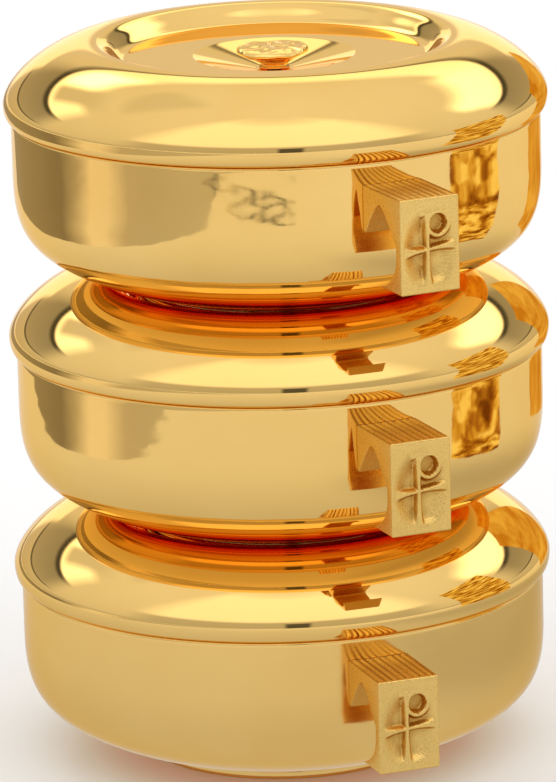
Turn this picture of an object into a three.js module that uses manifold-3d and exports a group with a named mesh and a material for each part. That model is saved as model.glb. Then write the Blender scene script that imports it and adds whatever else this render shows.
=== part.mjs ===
// Stack of three covered bowls in gilded brass. Each unit is a round bowl on a foot ring with one
// hooked finger handle, closed by a domed lid whose sunk dish seats the next bowl.
// Millimetres, +Z up. The origin is the centre of the lowest foot ring's resting face.
// The lowest handle points to -Y, and the units above it are turned and shifted a little, as stacked.
import * as THREE from 'three';
import { mergeVertices } from 'three/addons/utils/BufferGeometryUtils.js';
import Module from 'manifold-3d';

const wasm = await Module();
wasm.setup();

// ---- driving dimensions, mm ----
const GAP = 0.3;                    // clearance between pieces that touch
const ROUND_STEPS = 32;             // sides of the large turned pieces
const SMALL_STEPS = 12;             // sides of the small turned pieces

const UNITS = [
  { name: 'bottom', turn: 0, shift: [0, 0] },
  { name: 'middle', turn: 2.4, shift: [0.84, -0.31] },
  { name: 'top', turn: 4.4, shift: [1.5, -0.55] },
];
const PITCH = 75.5;                 // from one unit's foot to the next one's

const BOWL_RADIUS = 84;
const BOWL_WALL = 1.5;
const RIM_HEIGHT = 57.5;            // from the foot's resting face to the rim
const WALL_END = 39.5;              // the wall is straight above this height
const BASE_RADIUS = 46.5;
const BASE_HEIGHT = 2.9;            // underside of the bowl where the foot ring is soldered
const CORNER_START = [50, 4];       // radius and height where the curve up to the wall starts
const CORNER_UNDER = [80, 13.6];    // its two control points
const CORNER_SIDE = [BOWL_RADIUS, 19.5];
const KICK_RADIUS = 37;             // the middle of the base is pushed up over the next knob
const KICK_HEIGHT = 7.6;

const FOOT_OUTER = 45.3;
const FOOT_INNER = 41.8;

const LID_WALL = 1.2;
const LID_RADIUS = 86.3;            // widest point, proud of the bowl
const LID_WIDEST = 4.4;             // its height above the rim
const CREST_RADIUS = 57.2;
const CREST_HEIGHT = 23.2;
const DOME_SPREAD = 72.4;           // control points of the dome: its level top and its shoulder
const DOME_SHOULDER = 10.8;
const DISH_RADIUS = 46.5;           // flat floor of the dish
const SLOPE_RADIUS = 52;            // the steepest part between the floor and the crest
const DISH_HEIGHT = PITCH - RIM_HEIGHT - GAP;
const WELL_RADIUS = 25.8;           // shallow conical well round the knob
const WELL_HEIGHT = 13.4;
const WELL_FLAT = 6;                // its flat middle, under the knob's foot

const RING_OUTER = 82.1;            // ring under the lid that centres it in the bowl
const RING_WALL = 1.1;
const RING_DEPTH = 5;

const HANDLE_WIDTH = 19.8;
const HANDLE_REACH = 25.8;          // from the bowl's wall to the front face
const HANDLE_TOP = -7;              // heights on the handle are measured from the rim
const HANDLE_BOTTOM = -36.7;
const ARM_THICKNESS = 4.4;
const PLATE_THICKNESS = 3.8;
const LEG_BOTTOM = -22;
const ARCH_FOOT = 0.5;              // thickness left of the leg at its lower end
const TOE_LENGTH = 14.7;            // from the front face back to the tip of the toe
const GROOVE_COUNT = 7;
const GROOVE_RADIUS = 0.9;
const RELIEF_DEPTH = 0.9;

const HANDLE_SCREW_HEIGHT = -11.4;
const HANDLE_SCREW_ANGLE = 3.8;     // degrees each side of the handle's middle
const HANDLE_SCREW_RADIUS = 1.5;
const HANDLE_SCREW_HEAD = 2.7;
const HANDLE_SCREW_HEAD_HEIGHT = 1.7;
const HANDLE_SCREW_REACH = 5;       // into the handle, past the bowl's outer face
const HANDLE_SCREW_SEAT = 0.5;      // head to the curved inside of the wall

const KNOB_RADIUS = 13;
const KNOB_WIDEST = 18.9;           // height of the widest part of the cap
const KNOB_TOP = 20.6;
const KNOB_NECK = 4;
const KNOB_SCREW_RADIUS = 2;
const KNOB_SCREW_HEAD = 3.6;
const KNOB_SCREW_HEAD_HEIGHT = 2.4;
const KNOB_SCREW_TOP = 16.6;
const WASHER_RADIUS = 5.5;
const WASHER_THICKNESS = 0.8;

// ---- finishes ----
const FINISHES = {
  polished: new THREE.MeshStandardMaterial({ color: 0xe3b85a, roughness: 0.08, metalness: 1 }),
  matte: new THREE.MeshStandardMaterial({ color: 0xcfa552, roughness: 0.45, metalness: 1 }),
  cast: new THREE.MeshStandardMaterial({ color: 0xdcab4e, roughness: 0.22, metalness: 1 }),
  brass: new THREE.MeshStandardMaterial({ color: 0xc9a25a, roughness: 0.35, metalness: 1 }),
};

// ---- geometry helpers ----
const point = (x, y) => new THREE.Vector2(x, y);

// Turns a closed outline of (radius, height) points about +Z.
function turned(outline, steps) {
  const lathe = new THREE.LatheGeometry(outline, steps);
  lathe.rotateX(Math.PI / 2);
  return lathe;
}

// Points along a cubic curve, without its first point, so that curves can be chained.
function curve(a, b, c, d, steps) {
  return new THREE.CubicBezierCurve(a, b, c, d).getPoints(steps).slice(1);
}

// The other face of a sheet: every point moved square to the outline by the thickness.
function offset(outline, thickness) {
  return outline.map((here, i) => {
    const before = outline[Math.max(i - 1, 0)];
    const after = outline[Math.min(i + 1, outline.length - 1)];
    const along = after.clone().sub(before).normalize();
    return point(here.x - along.y * thickness, here.y + along.x * thickness);
  });
}

function toSolid(geometry) {
  const bare = geometry.clone();
  bare.deleteAttribute('normal');
  bare.deleteAttribute('uv');
  const merged = mergeVertices(bare, 1e-4);
  const mesh = new wasm.Mesh({
    numProp: 3,
    vertProperties: new Float32Array(merged.attributes.position.array),
    triVerts: new Uint32Array(merged.index.array),
  });
  return new wasm.Manifold(mesh);
}

function toGeometry(solid) {
  const mesh = solid.getMesh();
  const geometry = new THREE.BufferGeometry();
  geometry.setAttribute('position', new THREE.BufferAttribute(mesh.vertProperties, 3));
  geometry.setIndex(new THREE.BufferAttribute(mesh.triVerts, 1));
  geometry.computeVertexNormals();
  return geometry;
}

// A rod of the given radius pointing outwards over the handle, from one reach to another.
function rod(radius, near, far, height, angle) {
  const shape = new THREE.CylinderGeometry(radius, radius, far - near, SMALL_STEPS);
  shape.translate(0, -(near + far) / 2, 0);
  shape.translate(0, 0, height);
  shape.rotateZ(THREE.MathUtils.degToRad(angle));
  return shape;
}

// ---- bowl, its foot ring and what fastens the handle ----
function bowlOutside() {
  return [
    point(KICK_RADIUS, KICK_HEIGHT),
    point(FOOT_INNER - 1.5, BASE_HEIGHT),
    point(BASE_RADIUS, BASE_HEIGHT),
    point(...CORNER_START),
    ...curve(point(...CORNER_START), point(...CORNER_UNDER), point(...CORNER_SIDE),
      point(BOWL_RADIUS, WALL_END), 5),
    point(BOWL_RADIUS, RIM_HEIGHT - GAP),
  ];
}

function bowlGeometry() {
  const outside = bowlOutside();
  const inside = offset(outside, BOWL_WALL).reverse();
  const outline = [point(0, KICK_HEIGHT), ...outside, ...inside, point(0, KICK_HEIGHT + BOWL_WALL)];
  let solid = toSolid(turned(outline, ROUND_STEPS));
  for (const side of [-1, 1]) {
    const hole = rod(HANDLE_SCREW_RADIUS + GAP, BOWL_RADIUS - 8, BOWL_RADIUS + 8,
      RIM_HEIGHT + HANDLE_SCREW_HEIGHT, side * HANDLE_SCREW_ANGLE);
    solid = solid.subtract(toSolid(hole));
  }
  return toGeometry(solid);
}

function footRingGeometry() {
  const top = BASE_HEIGHT - GAP;
  const outline = [
    point(FOOT_INNER, 0),
    point(FOOT_OUTER, 0),
    point(FOOT_OUTER, top),
    point(FOOT_INNER, top),
    point(FOOT_INNER, 0),
  ];
  return turned(outline, ROUND_STEPS);
}

function handleScrewGeometry(side) {
  const seat = BOWL_RADIUS - BOWL_WALL - HANDLE_SCREW_SEAT;
  const height = RIM_HEIGHT + HANDLE_SCREW_HEIGHT;
  const angle = side * HANDLE_SCREW_ANGLE;
  const head = rod(HANDLE_SCREW_HEAD, seat - HANDLE_SCREW_HEAD_HEIGHT, seat, height, angle);
  const shank = rod(HANDLE_SCREW_RADIUS, seat - 1, BOWL_RADIUS + HANDLE_SCREW_REACH, height, angle);
  return toGeometry(toSolid(head).add(toSolid(shank)));
}

// ---- handle ----
// Outline seen from the side: x is the reach from the bowl's wall, y the height from the rim.
function handleOutline() {
  const back = GAP - 1;
  const plateBack = HANDLE_REACH - PLATE_THICKNESS;
  const middle = plateBack / 2;
  const crown = HANDLE_TOP - ARM_THICKNESS;
  const shape = new THREE.Shape();
  shape.moveTo(back, HANDLE_TOP);
  shape.lineTo(back, LEG_BOTTOM);
  shape.lineTo(GAP + ARCH_FOOT, LEG_BOTTOM);
  // a pointed arch with a small rounding at its top
  shape.bezierCurveTo(middle - 4.5, crown - 3, middle - 2, crown, middle, crown);
  shape.bezierCurveTo(middle + 2, crown, middle + 4.5, crown - 3, plateBack, LEG_BOTTOM);
  shape.lineTo(plateBack, HANDLE_BOTTOM + 10);
  shape.quadraticCurveTo(plateBack - 0.8, HANDLE_BOTTOM + 3.4, HANDLE_REACH - TOE_LENGTH, HANDLE_BOTTOM);
  shape.lineTo(HANDLE_REACH, HANDLE_BOTTOM);
  shape.lineTo(HANDLE_REACH, HANDLE_TOP);
  shape.closePath();
  return shape;
}

// A bar that flares from a narrow waist at the crossing to its two ends.
function flaredBar(x, y, half, waist, end, upright) {
  const across = [
    [-half, -end], [0, -waist], [half, -end],
    [half, end], [0, waist], [-half, end],
  ];
  const corners = across.map(([a, b]) => (upright ? point(x - b, y + a) : point(x + a, y + b)));
  return new THREE.Shape(corners);
}

// The sunk field of the front face, with a cross and its upper loop left standing in it.
function reliefSolid() {
  const width = HANDLE_WIDTH - 3;
  const top = HANDLE_TOP - 1.8;
  const bottom = HANDLE_BOTTOM + 1.8;
  const extrude = (shape, depth) => toSolid(
    new THREE.ExtrudeGeometry(shape, { depth, bevelEnabled: false, curveSegments: 6 }));
  const field = new THREE.Shape([
    point(-width / 2, bottom), point(width / 2, bottom),
    point(width / 2, top), point(-width / 2, top),
  ]);
  const crossing = -23.8;
  const loop = new THREE.Shape();
  loop.absarc(3.4, -15.4, 4.2, 0, 2 * Math.PI, false);
  const eye = new THREE.Path();
  eye.absarc(3.4, -15.4, 2.7, 0, 2 * Math.PI, true);
  loop.holes.push(eye);
  return extrude(field, RELIEF_DEPTH + 2)
    .subtract(extrude(flaredBar(0, -22, 11.4, 0.8, 1.3, true), RELIEF_DEPTH + 2))
    .subtract(extrude(flaredBar(0, crossing, 6.4, 0.7, 1.2, false), RELIEF_DEPTH + 2))
    .subtract(extrude(loop, RELIEF_DEPTH + 2));
}

function handleGeometry() {
  const side = new THREE.ExtrudeGeometry(handleOutline(),
    { depth: HANDLE_WIDTH, bevelEnabled: false, curveSegments: 7 });
  const outward = new THREE.Vector3(0, -1, 0);
  const upward = new THREE.Vector3(0, 0, 1);
  const across = new THREE.Vector3(-1, 0, 0);
  side.applyMatrix4(new THREE.Matrix4().makeBasis(outward, upward, across));
  side.translate(HANDLE_WIDTH / 2, -BOWL_RADIUS, RIM_HEIGHT);
  let solid = toSolid(side);

  // the back is ground to the bowl's wall
  const wall = turned([
    point(0, 0), point(BOWL_RADIUS + GAP, 0),
    point(BOWL_RADIUS + GAP, RIM_HEIGHT), point(0, RIM_HEIGHT),
  ], ROUND_STEPS);
  solid = solid.subtract(toSolid(wall));

  // cast grooves along the top
  const spacing = HANDLE_WIDTH / (GROOVE_COUNT + 1);
  for (let i = 1; i <= GROOVE_COUNT; i += 1) {
    const groove = new THREE.CylinderGeometry(GROOVE_RADIUS, GROOVE_RADIUS, HANDLE_REACH + 1, 6);
    groove.translate(
      i * spacing - HANDLE_WIDTH / 2,
      -BOWL_RADIUS - HANDLE_REACH / 2 + 2,
      RIM_HEIGHT + HANDLE_TOP + GROOVE_RADIUS * 0.4,
    );
    solid = solid.subtract(toSolid(groove));
  }

  const relief = new THREE.Matrix4().makeBasis(
    new THREE.Vector3(1, 0, 0), new THREE.Vector3(0, 0, 1), new THREE.Vector3(0, -1, 0));
  relief.setPosition(0, -BOWL_RADIUS - HANDLE_REACH + RELIEF_DEPTH, RIM_HEIGHT);
  solid = solid.subtract(reliefSolid().transform(relief.elements));

  for (const turn of [-1, 1]) {
    const hole = rod(HANDLE_SCREW_RADIUS + GAP, BOWL_RADIUS - 2, BOWL_RADIUS + HANDLE_SCREW_REACH + GAP,
      RIM_HEIGHT + HANDLE_SCREW_HEIGHT, turn * HANDLE_SCREW_ANGLE);
    solid = solid.subtract(toSolid(hole));
  }
  return toGeometry(solid);
}

// ---- lid and what is fixed to it; heights here are measured from the bowl's rim ----
function lidGeometry() {
  const hole = KNOB_SCREW_RADIUS + GAP;
  const well = point(hole, WELL_HEIGHT);
  const shoulder = point(WELL_RADIUS, DISH_HEIGHT);
  const floor = point(DISH_RADIUS, DISH_HEIGHT);
  const crest = point(CREST_RADIUS, CREST_HEIGHT);
  const widest = point(LID_RADIUS, LID_WIDEST);
  const outside = [
    well,
    point(WELL_FLAT, WELL_HEIGHT),
    shoulder,
    floor,
    ...curve(floor, point(SLOPE_RADIUS, DISH_HEIGHT), point(SLOPE_RADIUS, CREST_HEIGHT), crest, 3),
    ...curve(crest, point(DOME_SPREAD, CREST_HEIGHT), point(LID_RADIUS, DOME_SHOULDER), widest, 4),
  ];
  const lip = [
    point(LID_RADIUS - 0.7, 1.7),
    point(BOWL_RADIUS + 0.4, 0),
    point(RING_OUTER + GAP, 0),
    point(RING_OUTER + GAP, LID_WALL),
    point(BOWL_RADIUS, LID_WALL + 0.3),
  ];
  const inside = offset(outside, -LID_WALL).reverse();
  inside[inside.length - 1].x = hole;
  const outline = [...outside, ...lip, ...inside, well.clone()].reverse();
  const lid = turned(outline, ROUND_STEPS);
  lid.translate(0, 0, RIM_HEIGHT);
  return lid;
}

function lidRingGeometry() {
  const inner = RING_OUTER - RING_WALL;
  const outline = [
    point(inner, -RING_DEPTH),
    point(RING_OUTER, -RING_DEPTH),
    point(RING_OUTER, LID_WALL),
    point(inner, LID_WALL),
    point(inner, -RING_DEPTH),
  ];
  const ring = turned(outline, ROUND_STEPS);
  ring.translate(0, 0, RIM_HEIGHT);
  return ring;
}

function knobGeometry() {
  const bottom = WELL_HEIGHT + GAP;
  const bore = KNOB_SCREW_RADIUS + GAP;
  const outline = [
    point(0, KNOB_SCREW_TOP + GAP),
    point(bore, KNOB_SCREW_TOP + GAP),
    point(bore, bottom),
    point(KNOB_NECK + 1.8, bottom),
    point(KNOB_NECK, bottom + 1),
    point(KNOB_NECK + 1.2, bottom + 1.5),
    point(KNOB_RADIUS - 0.7, KNOB_WIDEST - 1),
    point(KNOB_RADIUS, KNOB_WIDEST),
    point(KNOB_RADIUS - 0.8, KNOB_WIDEST + 1),
    point(KNOB_RADIUS - 5, KNOB_TOP - 0.3),
    point(0, KNOB_TOP),
  ];
  const knob = turned(outline, SMALL_STEPS + 4);
  knob.translate(0, 0, RIM_HEIGHT);
  return knob;
}

const WASHER_TOP = WELL_HEIGHT - LID_WALL - GAP;
const SCREW_SEAT = WASHER_TOP - WASHER_THICKNESS - GAP;

function knobWasherGeometry() {
  const bore = KNOB_SCREW_RADIUS + GAP;
  const outline = [
    point(bore, WASHER_TOP - WASHER_THICKNESS),
    point(WASHER_RADIUS, WASHER_TOP - WASHER_THICKNESS),
    point(WASHER_RADIUS, WASHER_TOP),
    point(bore, WASHER_TOP),
    point(bore, WASHER_TOP - WASHER_THICKNESS),
  ];
  const washer = turned(outline, SMALL_STEPS);
  washer.translate(0, 0, RIM_HEIGHT);
  return washer;
}

function knobScrewGeometry() {
  const outline = [
    point(0, SCREW_SEAT - KNOB_SCREW_HEAD_HEIGHT),
    point(KNOB_SCREW_HEAD, SCREW_SEAT - KNOB_SCREW_HEAD_HEIGHT),
    point(KNOB_SCREW_HEAD, SCREW_SEAT),
    point(KNOB_SCREW_RADIUS, SCREW_SEAT),
    point(KNOB_SCREW_RADIUS, KNOB_SCREW_TOP),
    point(0, KNOB_SCREW_TOP),
  ];
  const screw = turned(outline, SMALL_STEPS);
  screw.translate(0, 0, RIM_HEIGHT);
  return screw;
}

// ---- assembly ----
const PIECES = [
  ['bowl', bowlGeometry(), FINISHES.polished],
  ['foot_ring', footRingGeometry(), FINISHES.polished],
  ['handle', handleGeometry(), FINISHES.matte],
  ['handle_screw_left', handleScrewGeometry(-1), FINISHES.brass],
  ['handle_screw_right', handleScrewGeometry(1), FINISHES.brass],
  ['lid', lidGeometry(), FINISHES.polished],
  ['lid_ring', lidRingGeometry(), FINISHES.polished],
  ['knob', knobGeometry(), FINISHES.cast],
  ['knob_washer', knobWasherGeometry(), FINISHES.brass],
  ['knob_screw', knobScrewGeometry(), FINISHES.brass],
];

const stack = new THREE.Group();
UNITS.forEach((unit, level) => {
  const group = new THREE.Group();
  group.position.set(...unit.shift, level * PITCH);
  group.rotation.z = THREE.MathUtils.degToRad(unit.turn);
  for (const [piece, geometry, finish] of PIECES) {
    const mesh = new THREE.Mesh(geometry, finish);
    mesh.name = `${unit.name}_${piece}`;
    group.add(mesh);
  }
  stack.add(group);
});

export default stack;
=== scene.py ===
import math

import bmesh
import bpy
import numpy as np
from mathutils import Matrix, Vector, noise
from mathutils.geometry import tessellate_polygon


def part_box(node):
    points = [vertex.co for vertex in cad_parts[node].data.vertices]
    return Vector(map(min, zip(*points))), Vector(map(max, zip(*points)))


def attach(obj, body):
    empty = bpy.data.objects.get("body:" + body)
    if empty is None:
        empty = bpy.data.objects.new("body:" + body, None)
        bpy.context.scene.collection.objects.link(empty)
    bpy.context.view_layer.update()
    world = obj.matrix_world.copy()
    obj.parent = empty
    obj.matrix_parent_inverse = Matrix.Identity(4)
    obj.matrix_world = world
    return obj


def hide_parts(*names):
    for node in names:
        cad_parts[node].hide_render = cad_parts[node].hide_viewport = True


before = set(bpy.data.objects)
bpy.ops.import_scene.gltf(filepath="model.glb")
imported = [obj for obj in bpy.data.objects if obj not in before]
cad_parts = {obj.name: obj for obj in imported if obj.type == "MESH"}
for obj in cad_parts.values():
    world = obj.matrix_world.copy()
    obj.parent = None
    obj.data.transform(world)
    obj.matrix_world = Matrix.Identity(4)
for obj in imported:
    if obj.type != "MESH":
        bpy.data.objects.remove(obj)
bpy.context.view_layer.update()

MM = 0.001
UNITS = ("bottom", "middle", "top")

# ---- driving sizes, read from the frame ----


def half_width(node):
    low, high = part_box(node)
    return (high.x - low.x) / 2 / MM


GAP = 0.3
BOWL_RADIUS = half_width("bottom_bowl")
LID_RADIUS = half_width("bottom_lid")
FOOT_OUTER = half_width("bottom_foot_ring")
RING_OUTER = half_width("bottom_lid_ring")
KNOB_RADIUS = half_width("bottom_knob")
HANDLE_WIDTH = 2 * half_width("bottom_handle")
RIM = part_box("bottom_bowl")[1].z / MM + GAP
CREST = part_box("bottom_lid")[1].z / MM - RIM
KNOB_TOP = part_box("bottom_knob")[1].z / MM - RIM
HANDLE_REACH = -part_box("bottom_handle")[0].y / MM - BOWL_RADIUS
HANDLE_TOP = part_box("bottom_handle")[1].z / MM - RIM
HANDLE_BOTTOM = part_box("bottom_handle")[0].z / MM - RIM
FOOT_HEIGHT = {u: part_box(f"{u}_foot_ring")[0].z / MM for u in UNITS}


def shift_of(unit):
    """How far a unit's axis is from the lowest one's."""
    low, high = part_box(f"{unit}_bowl")
    return (low.x + high.x) / 2 / MM, (low.y + high.y) / 2 / MM


def turn_of(unit):
    """How far a unit is turned from the lowest one, from where its handle is."""
    low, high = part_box(f"{unit}_handle")
    middle = (low + high) / 2 / MM
    return math.atan2(middle.x - SHIFT[unit][0], SHIFT[unit][1] - middle.y)


SHIFT = {u: shift_of(u) for u in UNITS}
TURN = {u: turn_of(u) for u in UNITS}

# ---- sizes that the frame doesn't give ----
BOWL_WALL = 1.5
LID_WALL = 1.2
BASE_HEIGHT = 2.9
KICK_HEIGHT = 7.6
DISH_HEIGHT = 17.7
WELL_HEIGHT = 13.4
WELL_RADIUS = 25.8
WELL_FLAT = 6.0
CREST_RADIUS = 57.2
DOME_SPREAD = 72.4
DOME_SHOULDER = 10.8
LID_WIDEST = 4.4
WALL_END = 39.5
DISH_RADIUS = 46.5
SLOPE_RADIUS = 52.0
BASE_RADIUS = 46.5
CORNER_START = (50, 4)
CORNER_UNDER = (80, 13.6)
CORNER_SIDE = 19.5
FOOT_INNER = 41.8
PLATE = 3.8
ARM = 4.4
LEG_BOTTOM = -22.0
ARCH_FOOT = 0.5
TOE = 14.7
KNOB_WIDEST = 18.9
KNOB_LEAN = (-0.66, 0.24)
RIDGES = 8
RIDGE_DEPTH = 1.1
RIDGE_MARGIN = 0.7
STEM_AT = -0.6
HOLLOW_DEPTH = 2.0
EYE_DEPTH = 2.6
LOOP_CENTRE = (2.9, -15.3)
LOOP_RADII = (3.4, 3.7)
SCREW_HOLE = 2.3
WASHER_HEIGHT = 0.8
LID_LIP = 84.4

# ---- outlines ----


def arc(cx, cy, rx, ry, start, end, steps):
    """Points along part of an ellipse, angles in degrees."""
    t = np.radians(np.linspace(start, end, steps))
    return np.stack([cx + rx * np.cos(t), cy + ry * np.sin(t)], 1)


def bezier(a, b, c, d, steps):
    t = np.linspace(0, 1, steps)[:, None]
    a, b, c, d = (np.array(p, float) for p in (a, b, c, d))
    return (1 - t) ** 3 * a + 3 * (1 - t) ** 2 * t * b + 3 * (1 - t) * t**2 * c + t**3 * d


def rounded(corners, steps=6):
    """A polyline through (x, y, radius) corners, each replaced by an arc of its radius."""
    out = [np.array(corners[0][:2], float)]
    for before, here, after in zip(corners, corners[1:], corners[2:]):
        p = np.array(here[:2], float)
        into = p - np.array(before[:2], float)
        out_of = np.array(after[:2], float) - p
        into /= np.linalg.norm(into)
        out_of /= np.linalg.norm(out_of)
        radius = here[2] if len(here) > 2 else 0
        bend = math.acos(float(np.clip(into @ out_of, -1, 1)))
        if radius == 0 or bend < 1e-3:
            out.append(p)
            continue
        reach = radius * math.tan(bend / 2)
        start, end = p - into * reach, p + out_of * reach
        for t in np.linspace(0, 1, steps):
            out.append((1 - t) ** 2 * start + 2 * (1 - t) * t * p + t**2 * end)
    out.append(np.array(corners[-1][:2], float))
    return np.array(out)


def resampled(path, spacing):
    """The same path with points no further apart than the spacing."""
    out = [path[0]]
    for a, b in zip(path, path[1:]):
        count = max(1, math.ceil(np.linalg.norm(b - a) / spacing - 1e-6))
        out += [a + (b - a) * k / count for k in range(1, count + 1)]
    return np.array(out)


def offset(path, distance):
    """The path moved square to itself, to the left of its direction."""
    along = np.gradient(path, axis=0)
    along /= np.linalg.norm(along, axis=1)[:, None] + 1e-12
    return path + distance * np.stack([-along[:, 1], along[:, 0]], 1)


# ---- meshes ----


def lathe(path, segments):
    """Turns (radius, height) points about Z. A path that starts or ends on the axis closes there,
    and a path that returns to its start is a ring."""
    ring = bool(np.allclose(path[0], path[-1]))
    if ring:
        path = path[:-1]
    angles = np.linspace(0, 2 * math.pi, segments, endpoint=False)
    verts, rows = [], []
    for r, z in path:
        if r < 1e-6:
            rows.append([len(verts)])
            verts.append((0, 0, z))
        else:
            rows.append(list(range(len(verts), len(verts) + segments)))
            verts += [(r * math.cos(a), r * math.sin(a), z) for a in angles]
    faces = []
    pairs = list(zip(rows, rows[1:])) + ([(rows[-1], rows[0])] if ring else [])
    for low, high in pairs:
        for k in range(segments):
            n = (k + 1) % segments
            if len(low) == 1:
                faces.append((low[0], high[n], high[k]))
            elif len(high) == 1:
                faces.append((low[k], low[n], high[0]))
            else:
                faces.append((low[k], low[n], high[n], high[k]))
    return np.array(verts), faces


def place(name, shape, unit, body, node, material, sharp=40):
    """Makes a piece from a unit-frame shape, gives it its place, body and finish, and hides the CAD part it
    stands for.
    """
    verts, faces = shape
    mesh = bpy.data.meshes.new(name)
    c, s = math.cos(TURN[unit]), math.sin(TURN[unit])
    world = np.stack([
        verts[:, 0] * c - verts[:, 1] * s + SHIFT[unit][0],
        verts[:, 0] * s + verts[:, 1] * c + SHIFT[unit][1],
        verts[:, 2] + FOOT_HEIGHT[unit],
    ], 1) * MM
    mesh.from_pydata(world.tolist(), [], faces)
    # a shape that came out inside out is turned
    shell = bmesh.new()
    shell.from_mesh(mesh)
    if shell.calc_volume(signed=True) < 0:
        bmesh.ops.reverse_faces(shell, faces=shell.faces)
    shell.to_mesh(mesh)
    shell.free()
    mesh.polygons.foreach_set("use_smooth", [True] * len(mesh.polygons))
    mesh.set_sharp_from_angle(angle=math.radians(sharp))
    mesh.materials.append(material)
    mesh.validate()
    piece = bpy.data.objects.new(name, mesh)
    bpy.context.scene.collection.objects.link(piece)
    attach(piece, f"{unit}_{body}")
    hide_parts(f"{unit}_{node}")
    return piece


def smooth(x, low, high):
    t = np.clip((x - low) / (high - low), 0, 1)
    return t * t * (3 - 2 * t)


# ---- bowl ----


def bowl_shape(unit):
    corner = bezier(CORNER_START, CORNER_UNDER, (BOWL_RADIUS, CORNER_SIDE), (BOWL_RADIUS, WALL_END), 48)
    base = rounded([(0, KICK_HEIGHT), (37, KICK_HEIGHT, 2.5), (40.3, BASE_HEIGHT, 1.5),
                    (BASE_RADIUS, BASE_HEIGHT, 1), CORNER_START])
    edge_height = RIM - GAP - BOWL_WALL / 2
    wall = np.array([(BOWL_RADIUS, z) for z in np.linspace(WALL_END, edge_height, 20)])
    outside = np.concatenate([resampled(base, 4)[:-1], corner, wall[1:]])
    inside = offset(outside, BOWL_WALL)[::-1]
    inside[-1] = (0, KICK_HEIGHT + BOWL_WALL)
    edge = arc(BOWL_RADIUS - BOWL_WALL / 2, edge_height, BOWL_WALL / 2, BOWL_WALL / 2, 0, 180, 9)
    path = np.concatenate([outside, edge[1:-1], inside])
    verts, faces = lathe(path, 360)
    return planished(verts, unit), faces


PLANISH_DEPTH = {"bottom": 0.006, "middle": 0.03, "top": 0.034}
PLANISH_SIZE = 7.0


def planished(verts, unit):
    """Shallow facets left by the finishing hammer, stronger on the upper two bowls. They fade out
    at the rim, inside and low on the corner."""
    depth = PLANISH_DEPTH[unit]
    seed = 40.0 * UNITS.index(unit)
    out = verts.copy()
    for i, (x, y, z) in enumerate(verts):
        r = math.hypot(x, y)
        if r < 60 or z > RIM - 0.5:
            continue
        p = Vector((x + seed, y, z)) / PLANISH_SIZE
        lump = noise.noise(p) + 0.5 * noise.noise(p * 2.1 + Vector((7, 3, 1)))
        push = depth * float(smooth(np.array(z), 8.0, 20.0)) * lump / r
        out[i, 0] += x * push
        out[i, 1] += y * push
    return out


# ---- lid ----


def lid_shape():
    widest = (LID_RADIUS, LID_WIDEST)
    well = rounded([(SCREW_HOLE, WELL_HEIGHT), (WELL_FLAT, WELL_HEIGHT, 1.0), (WELL_RADIUS, DISH_HEIGHT, 3.0),
                    (30, DISH_HEIGHT)])
    floor = np.linspace((30, DISH_HEIGHT), (DISH_RADIUS, DISH_HEIGHT), 8)
    slope = bezier((DISH_RADIUS, DISH_HEIGHT), (SLOPE_RADIUS, DISH_HEIGHT), (SLOPE_RADIUS, CREST),
                   (CREST_RADIUS, CREST), 36)
    dome = bezier((CREST_RADIUS, CREST), (DOME_SPREAD, CREST), (LID_RADIUS, DOME_SHOULDER), widest, 48)
    bead = bezier(widest, (LID_RADIUS, 2.6), (85.9, 0.35), (LID_LIP, 0), 10)
    outside = np.concatenate([resampled(well, 1.2), floor[1:], slope[1:], dome[1:]])
    inside = offset(outside, -LID_WALL)
    inside[0] = (SCREW_HOLE, WELL_HEIGHT - LID_WALL)
    inside = inside[::3][::-1]
    lip = rounded([(LID_LIP, 0), (RING_OUTER + GAP, 0, 0.3), (RING_OUTER + GAP, LID_WALL, 0.3),
                   (84.2, LID_WALL + 0.3, 1.0), (85.15, 3.6)])
    last = np.array([(SCREW_HOLE, WELL_HEIGHT - LID_WALL), (SCREW_HOLE, WELL_HEIGHT)])
    path = np.concatenate([outside, bead[1:], lip[1:], inside, last])
    path[:, 1] += RIM
    return lathe(path, 288)


def ring_shape(inner, outer, low, high, fillet, segments=192):
    path = rounded([((inner + outer) / 2, low), (outer, low, fillet), (outer, high, fillet),
                    (inner, high, fillet), (inner, low, fillet), ((inner + outer) / 2, low)], 4)
    return lathe(path, segments)


# ---- handle ----


def handle_outline():
    """The casting from the side: x is the reach from the bowl's wall, y the height from the rim."""
    plate_back = HANDLE_REACH - PLATE
    middle = plate_back / 2
    crown = HANDLE_TOP - ARM
    top = rounded([(GAP, LEG_BOTTOM + 4), (GAP, HANDLE_TOP, 0.25), (HANDLE_REACH, HANDLE_TOP, 0.6),
                   (HANDLE_REACH, HANDLE_BOTTOM, 0.6), (HANDLE_REACH - TOE, HANDLE_BOTTOM, 0.25),
                   (HANDLE_REACH - TOE + 2.4, HANDLE_BOTTOM + 1.0)])
    toe = bezier((HANDLE_REACH - TOE + 2.4, HANDLE_BOTTOM + 1.0),
                 (plate_back - 3.2, HANDLE_BOTTOM + 3.4), (plate_back, HANDLE_BOTTOM + 6.5),
                 (plate_back, HANDLE_BOTTOM + 12), 20)
    arch_front = bezier((plate_back, LEG_BOTTOM), (middle + 4.5, crown - 3), (middle + 2, crown),
                        (middle, crown), 32)
    arch_back = bezier((middle, crown), (middle - 2, crown), (middle - 4.5, crown - 3),
                       (GAP + ARCH_FOOT, LEG_BOTTOM), 32)
    leg = np.array([(GAP + 0.1, LEG_BOTTOM - 0.05), (GAP, LEG_BOTTOM + 0.3), (GAP, LEG_BOTTOM + 4)])
    path = np.concatenate([top, toe[1:], arch_front, arch_back[1:], leg])
    return resampled(path, 0.3)[:-1]


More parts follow.
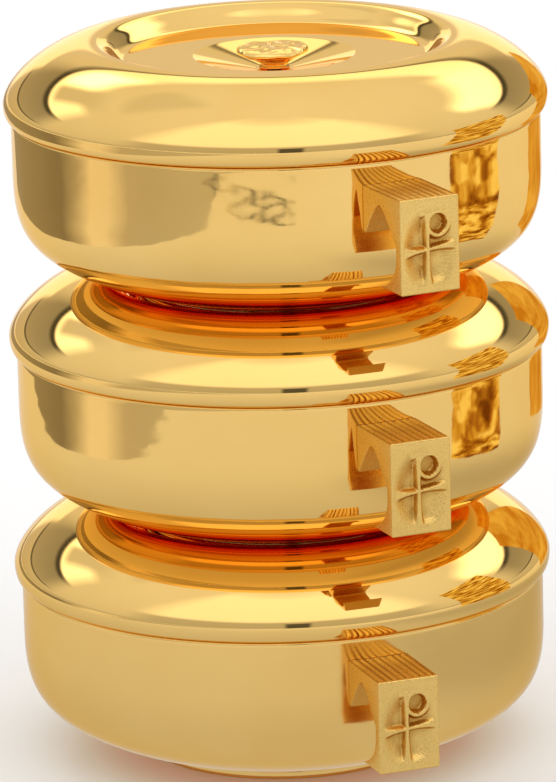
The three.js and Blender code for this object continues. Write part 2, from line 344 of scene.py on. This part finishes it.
def flared(x, z, x0, z0, x1, z1, waist_at, waist, end):
    """Distance outside a bar that is narrow at waist_at, from 0 to 1 along it, and flares to its ends."""
    dx, dz = x1 - x0, z1 - z0
    length = math.hypot(dx, dz)
    along = ((x - x0) * dx + (z - z0) * dz) / length**2
    across = np.abs((x - x0) * dz - (z - z0) * dx) / length
    spread = np.abs(along - waist_at) / max(waist_at, 1 - waist_at)
    width = waist + (end - waist) * np.clip(spread, 0, 1) ** 2
    beyond = np.maximum(np.maximum(-along, along - 1), 0) * length
    return np.hypot(np.maximum(across - width, 0), beyond)


def relief_depth(x, z):
    """How deep the sunk field of the front face is at a point, with the cross left standing in it."""
    stem = flared(x, z, STEM_AT, -12.3, STEM_AT, -34.0, 0.45, 0.25, 0.75)
    serif = flared(x, z, -2.4, -11.9, 1.2, -11.7, 0.5, 0.2, 0.5)
    left_arm = flared(x, z, -7.7, -23.7, STEM_AT, -23.2, 1.0, 0.2, 0.85)
    right_arm = flared(x, z, STEM_AT, -23.1, 8.1, -22.4, 0.0, 0.2, 0.85)
    from_loop = np.hypot((x - LOOP_CENTRE[0]) / LOOP_RADII[0], (z - LOOP_CENTRE[1]) / LOOP_RADII[1])
    loop = np.maximum(np.abs(from_loop - 1.0) * 3.5 - 0.3, 0)
    cross = np.minimum.reduce([stem, serif, left_arm, right_arm, loop])
    # one soft oval hollow, deepest beside the stem, fades out to the border
    hollow = smooth(np.hypot((x - 0.1) / 9.9, (z + 23.0) / 14.4), 1.0, 0.42)
    ends = smooth(z, HANDLE_TOP - 1.6, -11.4) * smooth(z, HANDLE_BOTTOM + 1.6, HANDLE_BOTTOM + 5.0)
    quarters = HOLLOW_DEPTH * hollow * ends + 0.06
    eye = EYE_DEPTH * smooth(from_loop, 0.88, 0.66)
    return np.maximum(quarters * smooth(cross, 0.0, 1.2), eye)


def handle_shape(unit):
    outline = handle_outline()
    count = len(outline)
    half, fillet = HANDLE_WIDTH / 2, 0.5
    rim_steps = np.array([0.0, 0.12, 0.3, 0.55, 0.8]) * fillet
    middle = np.linspace(-half + fillet, half - fillet, 76)
    columns = np.concatenate([-half + rim_steps, middle, (half - rim_steps)[::-1]])
    along = np.roll(outline, -1, 0) - np.roll(outline, 1, 0)
    along /= np.linalg.norm(along, axis=1)[:, None]
    inward = np.stack([along[:, 1], -along[:, 0]], 1)
    verts = []
    for x in columns:
        edge = max(0.0, fillet - (half - abs(x)))
        inset = fillet - math.sqrt(max(fillet**2 - edge**2, 0))
        d, z = (outline + inward * inset).T
        xs = np.full(count, x)
        reach = BOWL_RADIUS + d
        front = smooth(d, HANDLE_REACH - 0.2, HANDLE_REACH - 0.05)
        reach = reach - front * relief_depth(xs, z)
        # rounded ridges along the top with sharp valleys between them, a little uneven as cast
        on_top = smooth(z, HANDLE_TOP - 0.2, HANDLE_TOP - 0.05)
        on_top = on_top * smooth(d, HANDLE_REACH - 0.9, HANDLE_REACH - 1.6)
        wander = 0.18 * noise.noise(Vector((x * 0.4, 5.0 * UNITS.index(unit), 0)))
        phase = (x / (half - RIDGE_MARGIN) + 1) / 2 * RIDGES + wander
        across = 2 * (phase - math.floor(phase)) - 1
        valley = 1 - math.sqrt(max(0.0, 1 - across**2))
        if abs(x) > half - RIDGE_MARGIN:
            valley = 0.35
        z = z - on_top * RIDGE_DEPTH * valley
        # the back is ground to the bowl's wall
        y = -reach
        at_back = d < GAP + 0.6
        y = np.where(at_back, -np.sqrt((BOWL_RADIUS + d) ** 2 - x**2), y)
        verts.append(np.stack([xs, y, z + RIM], 1))
    verts = np.concatenate(verts)
    faces = []
    for a in range(len(columns) - 1):
        for k in range(count):
            n = (k + 1) % count
            faces.append((a * count + k, a * count + n, (a + 1) * count + n, (a + 1) * count + k))
    last = (len(columns) - 1) * count
    for a, b, c in tessellate_polygon([[Vector((v[1], v[2], 0)) for v in verts[:count]]]):
        faces += [(c, b, a), (last + a, last + b, last + c)]
    return verts, faces


# ---- knob and fasteners ----


def knob_shape(unit):
    """A small casting: a neck that opens into a lumpy cap with creases like a folded leaf."""
    low = WELL_HEIGHT + GAP
    side = rounded([(0, low), (5.4, low, 0.3), (3.9, low + 1.0, 0.6), (5.2, low + 1.7, 0.8),
                    (KNOB_RADIUS - 0.1, KNOB_WIDEST - 0.2, 1.0), (KNOB_RADIUS - 1.5, KNOB_WIDEST + 1.0)], 8)
    cap = bezier((KNOB_RADIUS - 1.5, KNOB_WIDEST + 1.0), (KNOB_RADIUS - 3.5, KNOB_TOP - 0.4),
                 (6, KNOB_TOP - 0.1), (0, KNOB_TOP - 0.3), 26)
    path = resampled(np.concatenate([side[:-1], cap]), 0.6)
    path[:, 1] += RIM
    verts, faces = lathe(path, 144)
    seed = 11.0 * UNITS.index(unit)
    out = verts.copy()
    for i, (x, y, z) in enumerate(verts):
        r, a = math.hypot(x, y), math.atan2(y, x)
        cast = float(smooth(np.array(z), RIM + low + 1.5, RIM + 17.5))
        lobes = 0.35 * math.cos(5 * a + 0.6) + 0.3 * math.cos(3 * a + 1.9)
        lump = noise.noise(Vector((x * 0.22 + seed, y * 0.22, z * 0.22)))
        crease = abs(math.sin(1.5 * a + 0.25 * r * 0.3 + 0.8))
        fold = math.exp(-((crease / 0.16) ** 2)) * float(smooth(np.array(r), 1.0, 5.0))
        out[i, 2] += cast * (0.55 * lump - 0.5 * fold * float(smooth(np.array(z), RIM + 18.8, RIM + 20.0)))
        if r > 0:
            push = cast * (0.4 * lobes * float(smooth(np.array(r), 5, 12)) + 0.4 * lump - 0.2) / r
            out[i, 0] += x * push
            out[i, 1] += y * push
        out[i, :2] = out[i, :2] * (1 - 0.055 * cast) + np.array(KNOB_LEAN) * cast
    out[:, 2] = np.minimum(out[:, 2], RIM + KNOB_TOP)
    return out, faces


def washer_shape():
    top = WELL_HEIGHT - LID_WALL - GAP + RIM
    return ring_shape(SCREW_HOLE, 5.5, top - WASHER_HEIGHT, top, 0.2, 64)


def slotted_head(radius, height, shank, reach, segments=48):
    """A screw along +Z with a domed head below z = 0, a slot across it and a threaded shank above."""
    head = rounded([(0, -height), (radius * 0.7, -height, 0.8), (radius, -height * 0.45, 0.5),
                    (radius, 0, 0.15), (shank, 0)], 5)
    pitch, depth = 0.5, 0.14
    turns = int((reach - 0.6) / (pitch / 2))
    thread = [(shank - depth * (k % 2), 0.3 + k * pitch / 2) for k in range(turns)]
    path = np.concatenate([head, np.array(thread), [(shank - 0.4, reach), (0, reach)]])
    verts, faces = lathe(path, segments)
    slot = (np.abs(verts[:, 0]) < radius * 0.16) & (verts[:, 2] < -height * 0.55)
    verts[slot, 2] = -height * 0.55
    return verts, faces


def knob_screw_shape():
    verts, faces = slotted_head(3.6, 2.4, 2.0, 5.8)
    seat = WELL_HEIGHT - LID_WALL - GAP - WASHER_HEIGHT - GAP + RIM
    return verts + np.array([0, 0, seat]), faces


def handle_screw_shape(side):
    verts, faces = slotted_head(2.7, 1.7, 1.5, 7.0)
    turn = Matrix.Rotation(math.radians(3.8 * side), 3, "Z") @ Matrix.Rotation(math.radians(90), 3, "X")
    seat = Vector((0, 0, BOWL_RADIUS - BOWL_WALL - 0.5))
    centre = Vector((0, 0, RIM - 11.4))
    out = np.array([turn @ (Vector(v) + seat) + centre for v in verts])
    return out, faces


# ---- materials ----


class Nodes:
    """A short way to build a node tree. add() makes a node: a setting named after a socket, or i and
    its number, is a value for it or another node's output to link to it."""

    def __init__(self, tree):
        self.tree = tree
        tree.nodes.clear()

    def add(self, kind, settings=None, **inputs):
        node = self.tree.nodes.new(kind)
        for key, value in (settings or {}).items():
            setattr(node, key, value)
        for key, value in inputs.items():
            numbered = key[0] == "i" and key[1:].isdigit()
            socket = node.inputs[int(key[1:]) if numbered else key.replace("_", " ")]
            if isinstance(value, bpy.types.NodeSocket):
                self.tree.links.new(value, socket)
            else:
                socket.default_value = value
        return node

    def math(self, operation, a, b=0.0, clamp=False):
        return self.add("ShaderNodeMath", {"operation": operation, "use_clamp": clamp}, i0=a, i1=b).outputs[0]

    def mix(self, factor, a, b):
        node = self.add("ShaderNodeMix", {"data_type": "RGBA"})
        for index, value in ((0, factor), (6, a), (7, b)):
            if isinstance(value, bpy.types.NodeSocket):
                self.tree.links.new(value, node.inputs[index])
            else:
                node.inputs[index].default_value = value
        return node.outputs[2]

    def ramp(self, value, stops):
        node = self.tree.nodes.new("ShaderNodeValToRGB")
        while len(node.color_ramp.elements) < len(stops):
            node.color_ramp.elements.new(0.5)
        for element, (at, colour) in zip(node.color_ramp.elements, stops):
            element.position = at
            element.color = (*colour, 1) if len(colour) == 3 else colour
        self.tree.links.new(value, node.inputs[0])
        return node.outputs[0]


def smooth_step(n, value, start, end):
    low, high = min(start, end), max(start, end)
    flip = start > end
    return n.add("ShaderNodeMapRange", {"interpolation_type": "SMOOTHSTEP"}, Value=value, From_Min=low,
                 From_Max=high, To_Min=1.0 if flip else 0.0, To_Max=0.0 if flip else 1.0).outputs[0]


GOLD = (0.92, 0.61, 0.205)
# the tone that gold keeps where it is seen at a grazing angle
EDGE_TINT = (1.0, 0.84, 0.58, 1)


def toned(colour, red, green, blue):
    return (colour[0] * red, colour[1] * green, colour[2] * blue, 1)


def facing_down(n):
    """The upward part of the surface's direction: -1 where it faces straight down."""
    return n.add("ShaderNodeSeparateXYZ", Vector=n.add("ShaderNodeNewGeometry").outputs["Normal"]).outputs[2]


def painted_shade_and_speckle(n, tint, colour, fine, amount):
    """Painted shade: a deeper tone where the surface faces down and where the ambient occlusion finds it
    sunk, and a darker speckle of grain.
    """
    # painted shade on the faces that look down
    shade = n.math("MULTIPLY", smooth_step(n, facing_down(n), -0.15, -0.6), amount)
    tint = n.mix(shade, tint, toned(colour, 0.72, 0.52, 0.3))
    # painted shade in creases and hollows, from the ambient occlusion
    open_to_air = n.add("ShaderNodeAmbientOcclusion", {"only_local": True, "samples": 12}, Distance=0.0035)
    sunk_shade = n.math("MULTIPLY", smooth_step(n, open_to_air.outputs["AO"], 0.99, 0.62), amount)
    tint = n.mix(sunk_shade, tint, toned(colour, 0.56, 0.42, 0.24))
    speckle = n.math("MULTIPLY", smooth_step(n, fine, 0.54, 0.36), 0.26)
    return n.mix(speckle, tint, toned(colour, 0.72, 0.60, 0.45))


def rough_underside_painted_glow(n, rough, tint, colour, amount):
    """A bowl's underside is rougher than its wall, and painted darker and redder where it looks straight
    down: a painted reflection of the red glow bounced between the gold pieces.
    """
    down = facing_down(n)
    rough = n.math("ADD", rough, n.math("MULTIPLY", smooth_step(n, down, -0.88, -0.98), amount))
    # painted reflection: the red glow between the bowl's underside and the lid below
    painted_red_glow = n.math("MULTIPLY", smooth_step(n, down, -0.92, -0.953), 0.85)
    return rough, n.mix(painted_red_glow, tint, toned(colour, 0.98, 0.5, 0.5))


def gold(name, colour, roughness, spread, bump_size, bump_depth, tarnish=0.0, grain=0.0, painted_shade_amount=0.0,
         underside=0.0):
    """Gold plate: a metal whose colour, roughness and surface each vary a little over the piece."""
    material = bpy.data.materials.new(name)
    material.use_nodes = True
    n = Nodes(material.node_tree)
    where = n.add("ShaderNodeTexCoord").outputs["Object"]
    cloud = n.add("ShaderNodeTexNoise", Vector=where, Scale=22.0, Detail=3.0, Roughness=0.55).outputs["Fac"]
    fine = n.add("ShaderNodeTexNoise", Vector=where, Scale=bump_size, Detail=4.0, Roughness=0.6)
    fine = fine.outputs["Fac"]
    light = tuple(min(1.0, c * 1.02) for c in colour)
    deep = tuple(c * (1 - tarnish) for c in (colour[0], colour[1] * 0.97, colour[2] * 0.9))
    tint = n.ramp(cloud, [(0.3, deep), (0.7, light)])
    # painted shade in sunk and down-facing parts
    if painted_shade_amount:
        tint = painted_shade_and_speckle(n, tint, colour, fine, painted_shade_amount)
    rough = n.add("ShaderNodeMapRange", Value=fine, From_Min=0.3, From_Max=0.7,
                  To_Min=roughness - spread, To_Max=roughness + spread).outputs[0]
    # a rougher underside, with a painted red glow
    if underside:
        rough, tint = rough_underside_painted_glow(n, rough, tint, colour, underside)
    height = fine
    if grain:
        pits = n.add("ShaderNodeTexVoronoi", {"feature": "F1"}, Vector=where, Scale=grain).outputs["Distance"]
        height = n.math("ADD", fine, n.math("MULTIPLY", pits, 0.7))
    bump = n.add("ShaderNodeBump", Height=height, Strength=1.0, Distance=bump_depth).outputs[0]
    shader = n.add("ShaderNodeBsdfPrincipled", Base_Color=tint, Roughness=rough, Normal=bump, Metallic=1.0,
                   Specular_Tint=EDGE_TINT)
    n.add("ShaderNodeOutputMaterial", Surface=shader.outputs[0])
    return material


POLISHED = gold("polished_gold", GOLD, 0.04, 0.01, 60.0, 0.000006, tarnish=0.015)
WALLED = gold("planished_gold", GOLD, 0.05, 0.012, 150.0, 0.000006, tarnish=0.02, underside=0.05)
SATIN = gold("satin_gold", GOLD, 0.13, 0.03, 150.0, 0.000012, tarnish=0.02, underside=0.03)
# the cast handle gets painted shade in its hollows and under its arms
MATTE = gold("blasted_gold", (0.92, 0.62, 0.195), 0.31, 0.07, 1500.0, 0.0001, tarnish=0.08, grain=2200.0,
             painted_shade_amount=0.9)
CAST = gold("cast_gold", GOLD, 0.12, 0.03, 350.0, 0.00009, tarnish=0.05)
BRASS = gold("turned_brass", (0.74, 0.55, 0.25), 0.28, 0.05, 700.0, 0.00005, tarnish=0.06)

# ---- pieces ----


def build_unit(unit):
    """One covered bowl: the vessel's five pieces and the cover's five."""
    wall = SATIN if unit == "bottom" else WALLED
    place(f"{unit}_spun_bowl", bowl_shape(unit), unit, "vessel", "bowl", wall, 60)
    place(f"{unit}_base_ring", ring_shape(FOOT_INNER, FOOT_OUTER, 0, BASE_HEIGHT - GAP, 0.4), unit,
          "vessel", "foot_ring", SATIN, 60)
    place(f"{unit}_cast_handle", handle_shape(unit), unit, "vessel", "handle", MATTE, 50)
    for side, name in ((-1, "left"), (1, "right")):
        place(f"{unit}_screw_{name}", handle_screw_shape(side), unit, "vessel", f"handle_screw_{name}",
              BRASS, 35)
    place(f"{unit}_spun_lid", lid_shape(), unit, "cover", "lid", POLISHED, 60)
    place(f"{unit}_centring_ring", ring_shape(RING_OUTER - 1.1, RING_OUTER, RIM - 5, RIM + LID_WALL, 0.3),
          unit, "cover", "lid_ring", POLISHED, 60)
    place(f"{unit}_cast_knob", knob_shape(unit), unit, "cover", "knob", CAST, 60)
    place(f"{unit}_washer", washer_shape(), unit, "cover", "knob_washer", BRASS, 35)
    place(f"{unit}_fixing_screw", knob_screw_shape(), unit, "cover", "knob_screw", BRASS, 35)


for unit in UNITS:
    build_unit(unit)

# ---- camera ----
# A long lens 23 bowl radii away, 15 degrees above the horizon, with the handles turned to its right.
CAMERA_AZIMUTH = math.radians(-20.2)
CAMERA_DISTANCE = 23.31 * BOWL_RADIUS * MM
CAMERA_RISE = 5.988 * BOWL_RADIUS * MM
CAMERA_ASIDE = 0.0009
CAMERA_PITCH = math.radians(14.876)
CAMERA_YAW = math.radians(0.025)
CAMERA_ROLL = math.radians(-1.5)
CAMERA_LENS = 290.9

middle_rim = (FOOT_HEIGHT["middle"] + RIM) * MM
camera_data = bpy.data.cameras.new("camera")
camera_data.lens = CAMERA_LENS
camera_data.sensor_width = 36
camera_data.clip_end = 50
camera = bpy.data.objects.new("camera", camera_data)
bpy.context.scene.collection.objects.link(camera)
bpy.context.scene.camera = camera
turn = Matrix.Rotation(CAMERA_AZIMUTH, 3, "Z")
look = Matrix.Rotation(CAMERA_AZIMUTH + CAMERA_YAW, 3, "Z")
forward = look @ Vector((0, math.cos(CAMERA_PITCH), -math.sin(CAMERA_PITCH)))
right = look @ Vector((1, 0, 0))
up = right.cross(forward)
tilted_right = math.cos(CAMERA_ROLL) * right + math.sin(CAMERA_ROLL) * up
tilted_up = -math.sin(CAMERA_ROLL) * right + math.cos(CAMERA_ROLL) * up
pose = Matrix((tilted_right, tilted_up, -forward)).transposed().to_4x4()
stand = turn @ Vector((CAMERA_ASIDE, -CAMERA_DISTANCE, 0))
pose.translation = stand + Vector((0, 0, middle_rim + CAMERA_RISE))
camera.matrix_world = pose

# ---- floor and light ----
# Directions and places in this part are the camera's: X to its right, -Y towards it, over the stack.


def glow(n, colour):
    """Ends a node tree in a plain glow of a colour."""
    shader = n.add("ShaderNodeEmission", Color=colour, Strength=1.0)
    n.add("ShaderNodeOutputMaterial", Surface=shader.outputs[0])


def new_tree(name):
    material = bpy.data.materials.new(name)
    material.use_nodes = True
    return material, Nodes(material.node_tree)


def cloud_glow(name, stops, scale, stretch=(1, 1, 1)):
    """A soft uneven glow of a few colours, for what the polished walls mirror."""
    material, n = new_tree(name)
    where = n.add("ShaderNodeTexCoord").outputs["Object"]
    where = n.add("ShaderNodeMapping", Vector=where, Scale=stretch).outputs[0]
    cloud = n.add("ShaderNodeTexNoise", Vector=where, Scale=scale, Detail=3.0).outputs["Fac"]
    glow(n, n.ramp(cloud, stops))
    return material


def bearing(n, where):
    """0 towards the camera and 1 away from it, either way round the stack."""
    x, y, z = n.add("ShaderNodeSeparateXYZ", Vector=where).outputs
    angle = n.math("ARCTAN2", x, n.math("MULTIPLY", y, -1.0))
    return n.math("DIVIDE", n.math("ABSOLUTE", angle), math.pi)


def room_glow():
    """The dim room past the table's left edge, with one window in it."""
    material, n = new_tree("room")
    where = n.add("ShaderNodeTexCoord").outputs["Object"]
    angle = bearing(n, where)
    cloud = n.add("ShaderNodeTexNoise", Vector=where, Scale=2.5, Detail=2.0).outputs["Fac"]
    angle = n.math("ADD", angle, n.math("MULTIPLY", n.math("SUBTRACT", cloud, 0.5), 0.06))
    glow(n, n.ramp(angle, ROOM))
    return material


def table_glow():
    """The table top as the walls mirror it: dimmer near the stack, a painted shadow of the stack, and dimmer
    on its right.
    """
    material, n = new_tree("table")
    where = n.add("ShaderNodeTexCoord").outputs["Object"]
    x = n.add("ShaderNodeSeparateXYZ", Vector=where).outputs[0]
    away = n.add("ShaderNodeVectorMath", {"operation": "LENGTH"}, i0=where).outputs["Value"]
    on_right = n.math("MULTIPLY", smooth_step(n, x, 0.06, 0.2), smooth_step(n, away, 0.45, 0.2))
    glow(n, n.mix(n.math("MULTIPLY", on_right, 0.28), n.ramp(away, TABLE), (0.0, 0.0, 0.0, 1)))
    return material


def floor_material():
    material = bpy.data.materials.new("pale_floor")
    material.use_nodes = True
    n = Nodes(material.node_tree)
    shader = n.add("ShaderNodeBsdfPrincipled", Base_Color=(0.93, 0.93, 0.93, 1), Roughness=0.9)
    n.add("ShaderNodeOutputMaterial", Surface=shader.outputs[0])
    return material


def sheet(name, corners, material, mirrored_only=True):
    """A flat sheet of the studio. One that is mirrored only is not seen and casts no shadow."""
    mesh = bpy.data.meshes.new(name)
    mesh.from_pydata(corners, [], [(0, 1, 2, 3)])
    mesh.materials.append(material)
    piece = bpy.data.objects.new(name, mesh)
    piece.rotation_euler.z = CAMERA_AZIMUTH
    bpy.context.scene.collection.objects.link(piece)
    if mirrored_only:
        piece.visible_camera = False
        piece.visible_diffuse = False
        piece.visible_shadow = False


def flat(x0, x1, y0, y1, z):
    return [(x0, y0, z), (x1, y0, z), (x1, y1, z), (x0, y1, z)]


def upright(x0, y0, x1, y1, z0, z1):
    return [(x0, y0, z0), (x1, y1, z0), (x1, y1, z1), (x0, y0, z1)]


def well_patches(n, light, side, back, height):
    """Two bright patches low on the back, which the wells of the lids mirror."""
    beside = n.math("ABSOLUTE", side)
    patch = n.math("MULTIPLY", smooth_step(n, beside, 0.03, 0.06), smooth_step(n, beside, 0.31, 0.26))
    low = n.math("MULTIPLY", smooth_step(n, height, 0.25, 0.22), smooth_step(n, back, 0.5, 0.6))
    return n.mix(n.math("MULTIPLY", patch, low), light, (1.42, 1.42, 1.42, 1))


def back_patches(n, light, side, back, height):
    """Brighter and dimmer parts of the screen behind."""
    for side_low, side_high, low_edge, high_edge, level in BACK_PATCHES:
        across = n.math("MULTIPLY", smooth_step(n, side, side_low - 0.05, side_low + 0.05),
                        smooth_step(n, side, side_high + 0.05, side_high - 0.05))
        tall = n.math("MULTIPLY", smooth_step(n, height, low_edge - 0.03, low_edge + 0.03),
                      smooth_step(n, height, high_edge + 0.06, high_edge - 0.06))
        inside = n.math("MULTIPLY", n.math("MULTIPLY", across, tall), smooth_step(n, back, 0.15, 0.3))
        light = n.mix(inside, light, (*grey(level), 1))
    return light


def camera_shade(n, light, side, back, height):
    """The dark camera and its stand, a little to the right of the middle."""
    across = smooth_step(n, n.math("ABSOLUTE", n.math("SUBTRACT", side, 0.10)), 0.11, 0.07)
    tall = smooth_step(n, height, 0.40, 0.33)
    near = smooth_step(n, back, -0.5, -0.6)
    shade = n.math("MULTIPLY", n.math("MULTIPLY", across, tall), n.math("MULTIPLY", near, 0.85))
    return n.mix(shade, light, (0.03, 0.035, 0.03, 1))


def world_light():
    """Light from all round: a bright screen in front, another behind with patches, and a quiet ceiling."""
    world = bpy.data.worlds.new("studio")
    bpy.context.scene.world = world
    world.use_nodes = True
    n = Nodes(world.node_tree)
    direction = n.add("ShaderNodeTexCoord").outputs["Generated"]
    direction = n.add("ShaderNodeVectorRotate", {"rotation_type": "Z_AXIS"}, Vector=direction,
                      Angle=-CAMERA_AZIMUTH).outputs[0]
    split = n.add("ShaderNodeSeparateXYZ", Vector=direction)
    side, back, height = split.outputs
    flat_squared = n.math("SUBTRACT", 1.0, n.math("MULTIPLY", height, height))
    flat_length = n.math("MAXIMUM", n.math("SQRT", flat_squared), 0.02)
    facing = n.math("DIVIDE", back, flat_length)
    light = n.ramp(height, CEILING)
    screens = ((FRONT_SCREEN, -0.25, -0.6), (BACK_SIDES, 0.35, 0.62), (BACK_SCREEN, 0.93, 0.985))
    for stops, start, end in screens:
        light = n.mix(smooth_step(n, facing, start, end), light, n.ramp(height, stops))
    light = well_patches(n, light, side, back, height)
    light = back_patches(n, light, side, back, height)
    light = camera_shade(n, light, side, back, height)
    sky = n.add("ShaderNodeBackground", Color=light, Strength=1.0)
    n.add("ShaderNodeOutputWorld", Surface=sky.outputs[0])


def grey(v):
    return (v, v, v)


# (sine of the height above the horizon, light) for each side of the studio
FRONT_SCREEN = [(0.0, grey(0.55)), (0.42, grey(0.60)), (0.52, grey(1.32)), (0.96, grey(1.4)),
                (1.0, grey(0.95))]
BACK_SIDES = [(0.0, (0.62, 0.62, 0.64)), (0.150, (0.68, 0.68, 0.7)), (0.158, grey(0.12)),
              (0.170, grey(0.12)), (0.182, (0.46, 0.46, 0.48)), (0.41, (0.36, 0.36, 0.38)),
              (0.435, grey(0.08)), (0.455, grey(0.08)), (0.475, grey(1.9)), (0.63, grey(1.9)),
              (0.68, grey(0.90)), (1.0, grey(0.97))]
BACK_SCREEN = [(0.0, grey(0.8)), (0.40, (0.84, 0.85, 0.88)), (0.44, grey(0.3)), (0.455, grey(0.3)),
               (0.475, grey(1.6)), (0.62, grey(1.6)), (0.70, grey(0.92)), (1.0, grey(0.97))]
CEILING = [(0.0, grey(0.5)), (0.12, grey(0.78)), (1.0, grey(0.97))]
# parts of the back screen: (side from, side to, height from, height to, light)
BACK_PATCHES = [(-0.60, -0.42, 0.49, 0.72, 0.78), (-0.40, -0.20, 0.50, 0.66, 3.6),
                (0.34, 0.76, 0.50, 0.70, 2.3), (-0.9, -0.22, 0.80, 1.1, 0.80)]
# (bearing from the camera as a part of half a turn, light)
ROOM = [(0.16, grey(0.62)), (0.30, (0.56, 0.55, 0.52)), (0.36, (0.58, 0.55, 0.52)),
        (0.42, (0.92, 0.88, 0.82)), (0.47, (0.95, 0.9, 0.84)), (0.53, (0.5, 0.47, 0.42)),
        (0.58, (0.27, 0.25, 0.22)), (0.68, (0.33, 0.31, 0.29)), (0.80, (0.38, 0.38, 0.39)),
        (1.0, (0.40, 0.40, 0.42))]
# (metres from the stack's axis, light); darker near the axis, the stack's painted shadow
TABLE = [(0.10, grey(0.66)), (0.2, grey(0.74)), (0.35, grey(0.83)), (0.6, grey(0.90)), (1.0, grey(0.94))]

world_light()
FLOOR_SIZE = 12
sheet("floor", flat(-FLOOR_SIZE, FLOOR_SIZE, -FLOOR_SIZE, FLOOR_SIZE, 0), floor_material(), False)
sheet("table", flat(-0.41, 2.0, -2.0, 2.0, 0.001), table_glow())
sheet("room_left", flat(-3.0, -0.41, -2.0, 3.0, 0.001), room_glow())
edge = cloud_glow("table_edge", [(0.38, (0.03, 0.035, 0.03)), (0.60, (0.66, 0.62, 0.52))], 14.0)
sheet("table_edge", flat(-0.55, 0.12, -0.90, -0.872, 0.003), edge)
EMBOSSED = [(0.30, (0.16, 0.045, 0.004)), (0.42, (0.42, 0.17, 0.015)), (0.50, (0.78, 0.48, 0.07)),
            (0.60, (1.1, 0.92, 0.36))]
neighbour = cloud_glow("neighbour", EMBOSSED, 22.0, (1, 1, 4.5))
sheet("neighbour_near", upright(0.35, -0.118, 0.35, 0.06, 0.0, 0.3), neighbour)
amber = cloud_glow("amber", [(0.36, (0.62, 0.30, 0.03)), (0.62, (0.90, 0.62, 0.16))], 12.0, (1, 1, 2.0))
sheet("neighbour_far", upright(0.33, 0.283, 0.18, 0.378, 0.0, 0.3), amber)

scene = bpy.context.scene
scene.view_settings.view_transform = "Standard"
scene.cycles.max_bounces = 24
scene.cycles.glossy_bounces = 24
